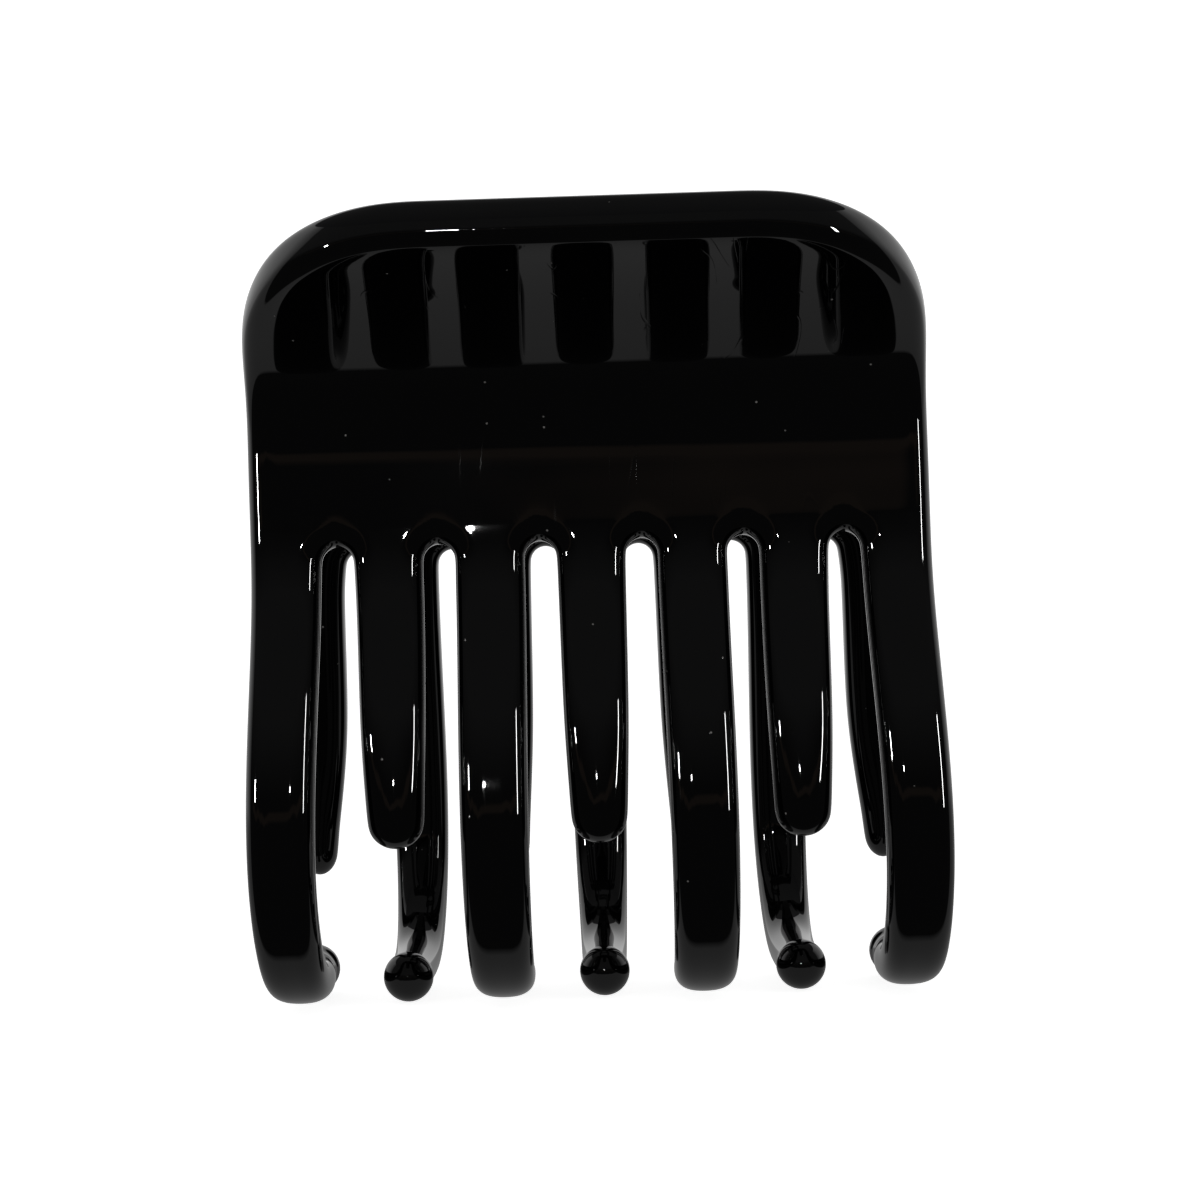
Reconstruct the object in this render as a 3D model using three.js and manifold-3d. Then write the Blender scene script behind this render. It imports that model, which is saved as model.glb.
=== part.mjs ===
// A claw clip for hair: two moulded plastic jaws that turn on a steel pin, and the torsion
// spring around the pin that keeps them shut.
//
// Millimetres, +Z up, +X along the hinge. The closed clip stands on its teeth: the origin is on the
// surface it stands on, under the middle of the clip. The front jaw is on the -Y side.
//
// A jaw is worked out as a flat blank and then bent. On the blank, u runs across the clip, s runs
// from the rim of the wing down to the tips of the teeth, and w is the height above the middle of
// the plate, towards the outside of the clip. The bend turns s into a curve in the YZ plane.

import * as THREE from "three";
import { mergeVertices } from "three/addons/utils/BufferGeometryUtils.js";
import Module from "manifold-3d";

const wasm = await Module();
wasm.setup();

// ---- Driving dimensions ----------------------------------------------------------------------

const halfWidth = 30.2;
const plateThickness = 4.5;
const edgeRadius = 1.6; // rounding of every edge of the plate
const cornerRadius = 15.3; // corners of the wing, on the blank

const toothPitch = 9;
const toothCount = 7;
const slotRadius = 1.45; // half the gap between two teeth, at its rounded top
const slotTop = 36.2; // s of the slots' tops

// Stations [s, degrees from straight down, towards the middle of the clip] of the way the plate
// heads. The wing leans out, the waist is upright, and the teeth bulge and curl in.
const bend = [
  [0, 66],
  [11.5, 54.5],
  [18.6, 47.5],
  [22.8, 24],
  [28, 0],
  [32, 0],
  [45, -11.5],
  [63, 0],
  [72, 36],
  [82, 86],
  [91.3, 92],
];
const waist = 30; // s of the narrowest place between the jaws
const waistFace = 14.8; // from the middle of the clip out to the face of the waist

// Stations [s, scale] of the width: the wing widens towards the waist, and the back jaw's teeth
// close inside the front jaw's.
const wingSpread = [[0, 0.96], [9, 0.968], [20, 0.995], [31, 1], [38, 1]];
const frontSpread = [...wingSpread, [63, 1.027], [87, 1]];
const backSpread = [...wingSpread, [63, 0.9775], [87, 1]];

// A tooth: stations [s, size] of its width and thickness and [s, shift for each pitch] of its lean
// towards the middle, where it starts to turn round in section, and where it ends, if it has no ball.
const ball = { radius: 2.35, centre: 91.3, neck: 1.95 };
const longThickness = [[38, 4.5], [67, 4.5], [83, 4.2], [90, 3.9]];
const shortThickness = [[38, 4.5], [65, 4.3]];
const upright = [[38, 0], [60, 0]];
const frontLong = {
  width: [[38, 6.2], [65, 5.8], [82, 5.5], [90, 3.9]],
  thickness: longThickness,
  lean: upright,
  roundFrom: 76,
};
const backLong = {
  width: [[38, 6.1], [64, 5.3], [77, 4.5], [90, 3.9]],
  thickness: longThickness,
  lean: upright,
  roundFrom: 70,
};
const frontShort = {
  width: [[38, 6.1], [51, 5.7], [61, 4.9]],
  thickness: shortThickness,
  lean: [[38, 0], [61, 0.3]],
  roundFrom: 53,
  end: 63.2,
};
const backShort = {
  width: [[38, 6.1], [52, 5.4], [65, 3.7]],
  thickness: shortThickness,
  lean: upright,
  roundFrom: 57,
  end: 68.1,
};
const straightSide = 65; // s down to which the outer teeth keep a straight outer side
const endRound = 2.3; // length of the rounded end of a short tooth

const hingeHeight = 47;
const pin = { radius: 1, halfLength: 13.4, headRadius: 1.8, headHeight: 1, crown: 1.1 };
const lug = { thickness: 3, radius: 3.6, bore: 1.3, rootTop: 22.5, rootBottom: 33 };
const frontLugs = [-10.6, 10.6]; // x of the middle of each lug
const backLugs = [-7, 7];

const spring = { wire: 0.6, coil: 2.15, turns: 5, halfLength: 4.2, legEnd: 20, gap: 0.3 };
const guide = { thickness: 1.2, height: 1.7, from: 17, to: 23, clearance: 0.5 }; // ribs beside a leg

const gloss = { color: 0x0b0b0c, roughness: 0.08, metalness: 0 };
const steel = { color: 0xb9bcc0, roughness: 0.3, metalness: 1 };

// ---- The bend ---------------------------------------------------------------------------------

// A smooth value between stations [s, value], level where the values turn back.
function smooth(stations, s) {
  const last = stations.length - 1;
  if (s <= stations[0][0]) return stations[0][1];
  if (s >= stations[last][0]) return stations[last][1];
  const rise = (i) => (stations[i + 1][1] - stations[i][1]) / (stations[i + 1][0] - stations[i][0]);
  const slope = (i) => {
    if (i === 0 || i === last) return rise(Math.min(i, last - 1));
    const product = rise(i - 1) * rise(i);
    return product <= 0 ? 0 : (2 * product) / (rise(i - 1) + rise(i));
  };
  const k = stations.findIndex((station) => station[0] >= s) - 1;
  const span = stations[k + 1][0] - stations[k][0];
  const t = (s - stations[k][0]) / span;
  const fromLow = stations[k][1] * (1 + 2 * t) + span * slope(k) * t;
  const fromHigh = stations[k + 1][1] * (3 - 2 * t) + span * slope(k + 1) * (t - 1);
  return fromLow * (1 - t) ** 2 + fromHigh * t ** 2;
}

const headingAt = (s) => THREE.MathUtils.degToRad(smooth(bend, s));

// The middle of the plate as a table of points, one for each step along s.
const step = 0.1;
const tableEnd = ball.centre + 2 * ball.radius;
const middle = [{ y: 0, z: 0 }];
for (let i = 0; i * step < tableEnd; i++) {
  const heading = headingAt((i + 0.5) * step);
  const { y, z } = middle[i];
  middle.push({ y: y + Math.sin(heading) * step, z: z - Math.cos(heading) * step });
}

function middleAt(s) {
  const i = Math.min(Math.max(Math.floor(s / step), 0), middle.length - 2);
  const t = s / step - i;
  const [a, b] = [middle[i], middle[i + 1]];
  return { y: a.y + (b.y - a.y) * t, z: a.z + (b.z - a.z) * t };
}

// The shift that puts the waist in its place, and the lowest of the teeth and balls at z = 0.
const undersides = middle.map(({ z }, i) => {
  const below = (smooth(longThickness, i * step) / 2) * Math.sin(headingAt(i * step));
  return below - z;
});
const shift = {
  y: plateThickness / 2 - waistFace - middleAt(waist).y,
  z: Math.max(...undersides, ball.radius - middleAt(ball.centre).z),
};

// A point of the blank, bent into the front jaw.
function bent(u, s, w) {
  const { y, z } = middleAt(s);
  const heading = headingAt(s);
  return new THREE.Vector3(
    u,
    y + shift.y - w * Math.cos(heading),
    z + shift.z - w * Math.sin(heading),
  );
}

// ---- A jaw's plate and teeth --------------------------------------------------------------------

const halfPlate = plateThickness / 2;
const roundSteps = 2; // facets around a quarter of an edge's rounding
const rings = Array.from({ length: roundSteps + 1 }, (_, k) => {
  const turn = (k / roundSteps) * (Math.PI / 2);
  return { depth: 1 - Math.cos(turn), drop: 1 - Math.sin(turn) };
});
const shoulder = slotTop - edgeRadius; // s where the wing ends and the teeth begin
const slotCentre = slotTop + slotRadius;
const slotSteps = 3; // facets around a quarter of a slot's top
const cornerSteps = 3; // facets around half of a wing's corner
const toothStep = 4.5; // between rows of a tooth
const wingColumns = 2 * toothCount;
const cornerColumns = 3; // of the wing's columns, those that end in a corner of its rim
const straightRows = 7; // of the wing, below its corners
const tipSteps = { end: 3, ball: 5 }; // rows over the tip of a tooth
const coilFacets = 12; // around a turn of the spring

const at = (u, s, w) => ({ u, s, w });
const mix = (a, b, t) => a + (b - a) * t;

// The wing: rows of points inside the rim's rounding, from the rim to the shoulder. Rows near the
// rim bow up into its corners, and the others are straight.
function wingRows() {
  const inner = cornerRadius - edgeRadius;
  const reach = halfWidth - edgeRadius;
  const bounds = Array.from({ length: toothCount + 1 }, (_, i) => (i - toothCount / 2) * toothPitch);
  bounds[0] = -reach;
  bounds[toothCount] = reach;
  const columns = bounds.flatMap((bound, i) => (i ? [(bounds[i - 1] + bound) / 2, bound] : [bound]));
  const topReach = reach - inner + inner * Math.SQRT1_2;
  const topEdge = columns.map((_, c) => {
    const fromCorner = Math.min(c, wingColumns - c);
    if (fromCorner >= cornerColumns) {
      const along = (c - cornerColumns) / (wingColumns - 2 * cornerColumns);
      return { u: mix(-1, 1, along) * (reach - inner), s: edgeRadius };
    }
    const angle = mix(Math.PI / 4, 0, fromCorner / cornerColumns);
    const u = Math.sign(c - wingColumns / 2) * (reach - inner + inner * Math.sin(angle));
    return { u, s: cornerRadius - inner * Math.cos(angle) };
  });
  const rows = [];
  for (let q = 0; q <= cornerSteps; q++) {
    const angle = mix(Math.PI / 4, Math.PI / 2, q / cornerSteps);
    const sideU = reach - inner + inner * Math.sin(angle);
    const sideS = cornerRadius - inner * Math.cos(angle);
    const down = (sideS - topEdge[0].s) / (cornerRadius - topEdge[0].s);
    rows.push(
      columns.map((column, c) => ({
        u: mix(topEdge[c].u / topReach, column / reach, down) * sideU,
        s: sideS + (1 - down) * (topEdge[c].s - topEdge[0].s),
      })),
    );
  }
  for (let r = 1; r <= straightRows; r++) {
    const s = mix(cornerRadius, shoulder, r / straightRows);
    rows.push(columns.map((u) => ({ u, s })));
  }
  return rows;
}

// One row of a tooth as a closed loop: over the outer face from one side to the other, and back
// over the inner face. edges are the points of the two sides, from each edge inwards.
function plateLoop(left, right) {
  const [a, b] = [left.at(-1), right.at(-1)];
  const over = [...left, at((a.u + b.u) / 2, (a.s + b.s) / 2, halfPlate), ...right.toReversed()];
  return [...over, ...over.map(({ u, s, w }) => at(u, s, -w)).reverse()];
}

// The rounded edge of a slot's top, or of the wing's side, at one row of the tooth beside it.
function topEdges(place, hand, turn) {
  const outside = Math.abs(place + hand / 2) === toothCount / 2;
  return rings.map(({ depth, drop }) => {
    const w = halfPlate - edgeRadius * drop;
    const reach = slotRadius + edgeRadius * depth;
    if (outside) {
      const s = slotCentre - (slotRadius + edgeRadius) * Math.cos(turn);
      return at(hand * (halfWidth - edgeRadius * depth), s, w);
    }
    const middleOfSlot = (place + hand / 2) * toothPitch;
    return at(middleOfSlot - hand * reach * Math.sin(turn), slotCentre - reach * Math.cos(turn), w);
  });
}

// A section across a tooth, from a rounded rectangle (round = 0) to an ellipse (round = 1).
function toothLoop(centre, s, halfAcross, halfThrough, round) {
  const corner = Math.min(edgeRadius, halfThrough, halfAcross);
  const side = rings.map(({ depth, drop }) => ({
    across: halfAcross - corner * depth,
    through: halfThrough - corner * drop,
  }));
  const left = side.map((p) => ({ ...p, across: -p.across }));
  const over = [...left, { across: 0, through: halfThrough }, ...side.toReversed()];
  const loop = [...over, ...over.map((p) => ({ ...p, through: -p.through })).reverse()];
  return loop.map((p, i) => {
    const angle = Math.PI - ((i + 0.5) * 2 * Math.PI) / loop.length;
    const u = mix(p.across, halfAcross * Math.cos(angle), round);
    const w = mix(p.through, halfThrough * Math.sin(angle), round);
    return at(centre + u, s, w);
  });
}

// Where a tooth's middle lies: the outer teeth keep their outer side on the side of the clip, and
// the short teeth lean in.
function toothMiddle(place, tooth, s) {
  if (Math.abs(place) < (toothCount - 1) / 2) return place * (toothPitch - smooth(tooth.lean, s));
  return Math.sign(place) * (halfWidth - smooth(tooth.width, Math.min(s, straightSide)) / 2);
}

// All rows of a tooth below its shoulder. place is its distance from the middle, in pitches.
function toothRows(place, tooth) {
  const rows = [];
  for (let j = 0; j <= slotSteps; j++) {
    const turn = (j / slotSteps) * (Math.PI / 2);
    rows.push(plateLoop(topEdges(place, -1, turn), topEdges(place, 1, turn)));
  }
  const neck = ball.centre - Math.sqrt(ball.radius ** 2 - ball.neck ** 2);
  const last = tooth.end ? tooth.end - endRound : neck;
  const [across, through] = [smooth(tooth.width, last) / 2, smooth(tooth.thickness, last) / 2];
  const count = Math.round((last - slotCentre) / toothStep);
  for (let j = 1; j <= count; j++) {
    const s = mix(slotCentre, last, j / count);
    const round = smooth([[tooth.roundFrom, 0], [last, 1]], s);
    const [halfAcross, halfThrough] = [smooth(tooth.width, s) / 2, smooth(tooth.thickness, s) / 2];
    rows.push(toothLoop(toothMiddle(place, tooth, s), s, halfAcross, halfThrough, round));
  }
  const tip = tooth.end
    ? { from: 0, middle: last, along: endRound, across, through, steps: tipSteps.end }
    : {
        from: -Math.acos(ball.neck / ball.radius),
        middle: ball.centre,
        along: ball.radius,
        across: ball.radius,
        through: ball.radius,
        steps: tipSteps.ball,
      };
  const centre = toothMiddle(place, tooth, last);
  for (let j = 1; j <= tip.steps; j++) {
    const turn = mix(tip.from, Math.PI / 2, j / tip.steps);
    const scale = j < tip.steps ? Math.cos(turn) : 0;
    const s = tip.middle + tip.along * Math.sin(turn);
    rows.push(toothLoop(centre, s, tip.across * scale, tip.through * scale, 1));
  }
  return rows;
}

// A solid from faces of three or four corners, each face turning left seen from outside.
function solidFrom(faces) {
  const tidy = ({ x, y, z }) => [x, y, z].map((value) => Math.round(value * 1e5) / 1e5);
  const corners = faces.flatMap(([a, b, c, d]) => (d ? [a, b, c, a, c, d] : [a, b, c]));
  const geometry = new THREE.BufferGeometry();
  geometry.setAttribute("position", new THREE.Float32BufferAttribute(corners.flatMap(tidy), 3));
  return solidOf(geometry);
}

function solidOf(geometry) {
  const bare = geometry.clone();
  bare.deleteAttribute("normal");
  bare.deleteAttribute("uv");
  const merged = mergeVertices(bare, 1e-4);
  const vertProperties = merged.attributes.position.array;
  const triVerts = new Uint32Array(merged.index.array);
  return new wasm.Manifold(new wasm.Mesh({ numProp: 3, vertProperties, triVerts }));
}

function plateSolid(teeth, spread) {
  const faces = [];
  const place = ({ u, s, w }) => bent(u * smooth(spread, s), s, w);
  const face = (...corners) => faces.push(corners.map(place));
  const both = (a, b, c, d) => {
    face(a, b, c, d);
    face(...[d, c, b, a].map(({ u, s, w }) => at(u, s, -w)));
  };
  // The flat of the wing, on both faces.
  const rows = wingRows();
  const flat = ({ u, s }) => at(u, s, halfPlate);
  for (let r = 1; r < rows.length; r++)
    for (let c = 1; c <= wingColumns; c++)
      both(flat(rows[r - 1][c - 1]), flat(rows[r][c - 1]), flat(rows[r][c]), flat(rows[r - 1][c]));
  // The rounded rim, from the left shoulder up, over the wing and down to the right shoulder.
  const rim = [
    ...rows.map((row) => row[0]).reverse(),
    ...rows[0].slice(1, -1),
    ...rows.map((row) => row[wingColumns]),
  ].map(({ u, s }) => {
    const past = new THREE.Vector2(
      Math.sign(u) * Math.max(Math.abs(u) - (halfWidth - cornerRadius), 0),
      Math.min(s - cornerRadius, 0),
    ).normalize();
    return rings.map(({ depth, drop }) => {
      const out = edgeRadius * (1 - depth);
      return at(u + past.x * out, s + past.y * out, halfPlate - edgeRadius * drop);
    });
  });
  for (let j = 1; j < rim.length; j++) {
    const [before, after] = [rim[j - 1], rim[j]];
    for (let k = 1; k < rings.length; k++) both(after[k], after[k - 1], before[k - 1], before[k]);
    const [a, b] = [before[0], after[0]];
    face(b, at(b.u, b.s, -b.w), at(a.u, a.s, -a.w), a);
  }
  // The teeth, each a stack of loops that ends in one point.
  teeth.forEach((tooth, i) => {
    const loops = toothRows(i - (toothCount - 1) / 2, tooth);
    for (let j = 1; j < loops.length; j++) {
      const [above, below] = [loops[j - 1], loops[j]];
      above.forEach((corner, k) => {
        const next = (k + 1) % above.length;
        if (j === loops.length - 1) face(corner, below[0], above[next]);
        else face(corner, below[k], below[next], above[next]);
      });
    }
  });
  return solidFrom(faces);
}

// ---- The hinge ----------------------------------------------------------------------------------

// A plate across the X axis from an outline in Y and Z, centred on x.
function crossPlate(outline, thickness, x) {
  const options = { depth: thickness, bevelEnabled: false, curveSegments: 8 };
  const geometry = new THREE.ExtrudeGeometry(outline, options);
  // The outline's x and y become y and z, and the extrusion runs along x.
  geometry.translate(0, 0, -thickness / 2);
  geometry.applyMatrix4(new THREE.Matrix4().set(0, 0, 1, x, 1, 0, 0, 0, 0, 1, 0, 0, 0, 0, 0, 1));
  return solidOf(geometry);
}

// An ear that stands on the inner face of the wing and carries the pin.
function lugOutline() {
  const outline = new THREE.Shape();
  const low = bent(0, lug.rootBottom, 0);
  const between = bent(0, (lug.rootBottom + lug.rootTop) / 2, 0);
  const high = bent(0, lug.rootTop, 0);
  outline.moveTo(low.y, low.z);
  outline.lineTo(-lug.radius / 2, hingeHeight - lug.radius);
  outline.absarc(0, hingeHeight, lug.radius, -Math.PI / 2, Math.PI / 2);
  outline.lineTo(-lug.radius / 2, hingeHeight + lug.radius);
  outline.lineTo(high.y, high.z);
  outline.lineTo(between.y, between.z);
  outline.holes.push(new THREE.Path().absarc(0, hingeHeight, lug.bore, 0, 2 * Math.PI, true));
  return outline;
}

// A rib on the inner face of the wing, one of the two that keep a leg of the spring in place.
function guideOutline() {
  const outline = new THREE.Shape();
  const stops = [guide.from, (guide.from + guide.to) / 2, guide.to];
  const foot = stops.map((s) => bent(0, s, 0));
  const ridge = stops.map((s) => bent(0, s, -halfPlate - guide.height)).reverse();
  outline.setFromPoints([...foot, ...ridge].map(({ y, z }) => new THREE.Vector2(y, z)));
  return outline;
}

// legSide is the side of x on which the leg of the spring bears, seen in the front jaw's place.
function jawGeometry(teeth, spread, lugs, legSide) {
  let solid = plateSolid(teeth, spread);
  for (const x of lugs) solid = solid.add(crossPlate(lugOutline(), lug.thickness, x));
  for (const hand of [-1, 1]) {
    const off = spring.wire + guide.clearance + guide.thickness / 2;
    const x = legSide * spring.halfLength + hand * off;
    solid = solid.add(crossPlate(guideOutline(), guide.thickness, x));
  }
  const { vertProperties, triVerts, numProp } = solid.getMesh();
  const geometry = new THREE.BufferGeometry();
  const positions = new Float32Array((vertProperties.length / numProp) * 3);
  for (let i = 0; i < positions.length / 3; i++)
    for (let k = 0; k < 3; k++) positions[3 * i + k] = vertProperties[numProp * i + k];
  geometry.setAttribute("position", new THREE.BufferAttribute(positions, 3));
  geometry.setIndex(new THREE.BufferAttribute(new Uint32Array(triVerts), 1));
  return geometry;
}

// A steel pin with a domed head at each end.
function pinGeometry() {
  const shank = pin.halfLength - pin.headHeight;
  const side = [
    [pin.crown, pin.halfLength],
    [pin.headRadius, shank + pin.headHeight / 2],
    [pin.headRadius, shank],
    [pin.radius, shank],
  ];
  const profile = [
    [0, -pin.halfLength],
    ...side.map(([r, along]) => [r, -along]),
    ...side.toReversed(),
    [0, pin.halfLength],
  ];
  const points = profile.map(([r, along]) => new THREE.Vector2(r, along));
  const geometry = new THREE.LatheGeometry(points, 16);
  return geometry.rotateZ(Math.PI / 2).translate(0, 0, hingeHeight);
}

// The spring's wire: in along one leg, round the coil, and out along the other leg.
function springPath() {
  const seat = bent(0, spring.legEnd, -halfPlate - spring.wire - spring.gap);
  const reach = Math.hypot(seat.y, seat.z - hingeHeight);
  // The leg touches the coil where the coil's radius is square to the leg.
  const upwards = Math.atan2(seat.z - hingeHeight, seat.y);
  const start = upwards + Math.acos(spring.coil / reach);
  const leaving = Math.PI - start + 2 * Math.PI * (spring.turns + 1);
  const onCoil = (angle, x) =>
    new THREE.Vector3(x, spring.coil * Math.cos(angle), hingeHeight + spring.coil * Math.sin(angle));
  const legSteps = 4;
  const coilSteps = Math.round((coilFacets * (leaving - start)) / (2 * Math.PI));
  const firstEnd = new THREE.Vector3(-spring.halfLength, seat.y, seat.z);
  const lastEnd = new THREE.Vector3(spring.halfLength, -seat.y, seat.z);
  const points = [];
  for (let i = 0; i < legSteps; i++) {
    const onto = onCoil(start, -spring.halfLength);
    points.push(firstEnd.clone().lerp(onto, i / legSteps));
  }
  for (let i = 0; i <= coilSteps; i++) {
    const t = i / coilSteps;
    points.push(onCoil(mix(start, leaving, t), mix(-spring.halfLength, spring.halfLength, t)));
  }
  for (let i = 1; i <= legSteps; i++) {
    const off = onCoil(leaving, spring.halfLength);
    points.push(off.lerp(lastEnd, i / legSteps));
  }
  return new THREE.CatmullRomCurve3(points, false, "centripetal");
}

function springGeometry() {
  const wire = new THREE.Shape().absarc(0, 0, spring.wire, 0, 2 * Math.PI);
  return new THREE.ExtrudeGeometry(wire, {
    steps: coilFacets * (spring.turns + 2),
    curveSegments: 3,
    bevelEnabled: false,
    extrudePath: springPath(),
  });
}

// ---- Assembly -----------------------------------------------------------------------------------

function piece(name, geometry, finish) {
  const mesh = new THREE.Mesh(geometry, new THREE.MeshStandardMaterial(finish));
  mesh.name = name;
  return mesh;
}

const alternate = (odd, even) => Array.from({ length: toothCount }, (_, i) => (i % 2 ? even : odd));

const clip = new THREE.Group();
const frontTeeth = alternate(frontLong, frontShort);
clip.add(piece("front_jaw", jawGeometry(frontTeeth, frontSpread, frontLugs, -1), gloss));

// The back jaw faces the other way, so it is made like a front jaw and turned round.
const backTeeth = alternate(backShort, backLong);
const backJaw = piece("back_jaw", jawGeometry(backTeeth, backSpread, backLugs, -1), gloss);
backJaw.rotation.z = Math.PI;
clip.add(backJaw);

clip.add(piece("hinge_pin", pinGeometry(), steel));
clip.add(piece("torsion_spring", springGeometry(), steel));

export default clip;
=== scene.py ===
"""A claw clip for hair: two glossy moulded jaws on a steel pin, shut by a torsion spring.

Metres, +Z up, +X along the hinge. The closed clip stands on its teeth, with the front jaw on the
-Y side. A jaw is worked out as a flat blank and then bent. On the blank, u runs across the clip, s
from the rim of the wing down to the tips of the teeth, and w is the height above the middle of the
plate, towards the outside of the clip. The bend turns s into a curve in the YZ plane.
"""

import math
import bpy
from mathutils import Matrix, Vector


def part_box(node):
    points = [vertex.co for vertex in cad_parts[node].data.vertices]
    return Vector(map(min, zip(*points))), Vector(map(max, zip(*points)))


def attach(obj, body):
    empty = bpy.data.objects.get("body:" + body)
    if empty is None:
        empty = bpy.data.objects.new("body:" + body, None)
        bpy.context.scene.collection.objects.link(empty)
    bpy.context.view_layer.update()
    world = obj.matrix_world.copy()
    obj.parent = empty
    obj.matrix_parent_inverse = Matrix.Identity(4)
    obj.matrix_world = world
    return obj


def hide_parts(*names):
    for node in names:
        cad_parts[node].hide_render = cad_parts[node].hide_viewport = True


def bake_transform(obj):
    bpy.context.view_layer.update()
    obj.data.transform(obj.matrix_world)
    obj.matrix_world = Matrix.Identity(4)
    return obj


bl_info = {
    "name": "Claw Clip",
    "version": (1, 0, 0),
    "blender": (4, 5, 0),
    "location": "3D View > Sidebar > Claw Clip",
    "description": "Makes the mouldings, pin and spring of a claw clip, and a studio for it",
    "category": "Add Mesh",
}

from typing import NamedTuple

import bmesh
import bpy
import numpy as np
from bpy.props import FloatProperty, FloatVectorProperty, IntProperty, PointerProperty
from mathutils import Matrix, Vector

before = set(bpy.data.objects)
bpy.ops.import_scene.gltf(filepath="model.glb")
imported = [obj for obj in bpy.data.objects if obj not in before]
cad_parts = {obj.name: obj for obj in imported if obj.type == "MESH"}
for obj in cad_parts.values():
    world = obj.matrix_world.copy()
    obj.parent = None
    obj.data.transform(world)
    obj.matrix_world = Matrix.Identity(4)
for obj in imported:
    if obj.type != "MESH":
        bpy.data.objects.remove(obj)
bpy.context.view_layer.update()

MM = 0.001
TOOTH_COUNT = 7
HALF_TURN = Matrix.Rotation(math.pi, 4, "Z")  # takes the front jaw's place to the back jaw's


# ---- Stations ----------------------------------------------------------------------------------


def lengths(*pairs):
    """Stations (s, size) given in millimetres."""
    return [(s * MM, size * MM) for s, size in pairs]


def angles(*pairs):
    """Stations (s in millimetres, angle in degrees)."""
    return [(s * MM, math.radians(angle)) for s, angle in pairs]


def scales(*pairs):
    """Stations (s in millimetres, scale)."""
    return [(s * MM, scale) for s, scale in pairs]


def smooth(stations, s):
    """A smooth value between stations (s, value), level where the values turn back."""
    last = len(stations) - 1
    if s <= stations[0][0]:
        return stations[0][1]
    if s >= stations[last][0]:
        return stations[last][1]

    def rise(i):
        (s0, value0), (s1, value1) = stations[i], stations[i + 1]
        return (value1 - value0) / (s1 - s0)

    def slope(i):
        if i in (0, last):
            return rise(min(i, last - 1))
        product = rise(i - 1) * rise(i)
        return 0.0 if product <= 0 else 2 * product / (rise(i - 1) + rise(i))

    k = next(i for i in range(last) if stations[i + 1][0] >= s)
    (s0, value0), (s1, value1) = stations[k], stations[k + 1]
    span = s1 - s0
    t = (s - s0) / span
    from_low = value0 * (1 + 2 * t) + span * slope(k) * t
    from_high = value1 * (3 - 2 * t) + span * slope(k + 1) * (t - 1)
    return from_low * (1 - t) ** 2 + from_high * t**2


def mix(a, b, t):
    return a + (b - a) * t


# The way the plate heads, from straight down towards the middle of the clip. The wing leans out,
# the waist is upright, and the teeth bulge and curl in.
BEND = angles(
    (0, 66),
    (11.5, 54.5),
    (18.6, 47.5),
    (22.8, 24),
    (28, 0),
    (32, 0),
    (45, -11.5),
    (63, 0),
    (72, 36),
    (82, 86),
    (91.3, 92),
)

# The width grows towards the waist, and the back jaw's teeth close inside the front jaw's.
WING_SPREAD = scales((0, 0.96), (9, 0.968), (20, 0.995), (31, 1), (38, 1))
FRONT_SPREAD = WING_SPREAD + scales((63, 1.027), (87, 1))
BACK_SPREAD = WING_SPREAD + scales((63, 0.9775), (87, 1))


class Tooth(NamedTuple):
    """Stations of a tooth's width and thickness and of its lean towards the middle, for each pitch.
    It turns round in section from round_from on, and ends at end, or in a ball if that is None."""

    width: list
    thickness: list
    lean: list
    round_from: float
    end: float | None = None


LONG_THICKNESS = lengths((38, 4.5), (67, 4.5), (83, 4.2), (90, 3.9))
SHORT_THICKNESS = lengths((38, 4.5), (65, 4.3))
UPRIGHT = lengths((38, 0), (60, 0))
FRONT_LONG = Tooth(
    width=lengths((38, 6.2), (65, 5.8), (82, 5.5), (90, 3.9)),
    thickness=LONG_THICKNESS,
    lean=UPRIGHT,
    round_from=76 * MM,
)
BACK_LONG = Tooth(
    width=lengths((38, 6.1), (64, 5.3), (77, 4.5), (90, 3.9)),
    thickness=LONG_THICKNESS,
    lean=UPRIGHT,
    round_from=70 * MM,
)
FRONT_SHORT = Tooth(
    width=lengths((38, 6.1), (51, 5.7), (61, 4.9)),
    thickness=SHORT_THICKNESS,
    lean=lengths((38, 0), (61, 0.3)),
    round_from=53 * MM,
    end=63.2 * MM,
)
BACK_SHORT = Tooth(
    width=lengths((38, 6.1), (52, 5.4), (65, 3.7)),
    thickness=SHORT_THICKNESS,
    lean=UPRIGHT,
    round_from=57 * MM,
    end=68.1 * MM,
)


# ---- Settings ----------------------------------------------------------------------------------


def length(name, description, default):
    """A length that a user can change, from its default in metres."""
    return FloatProperty(
        name=name, description=description, default=default, min=0, unit="LENGTH", precision=5
    )


def colour(name, description, default):
    return FloatVectorProperty(
        name=name, description=description, default=default, min=0, max=1, size=3, subtype="COLOR"
    )


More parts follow.
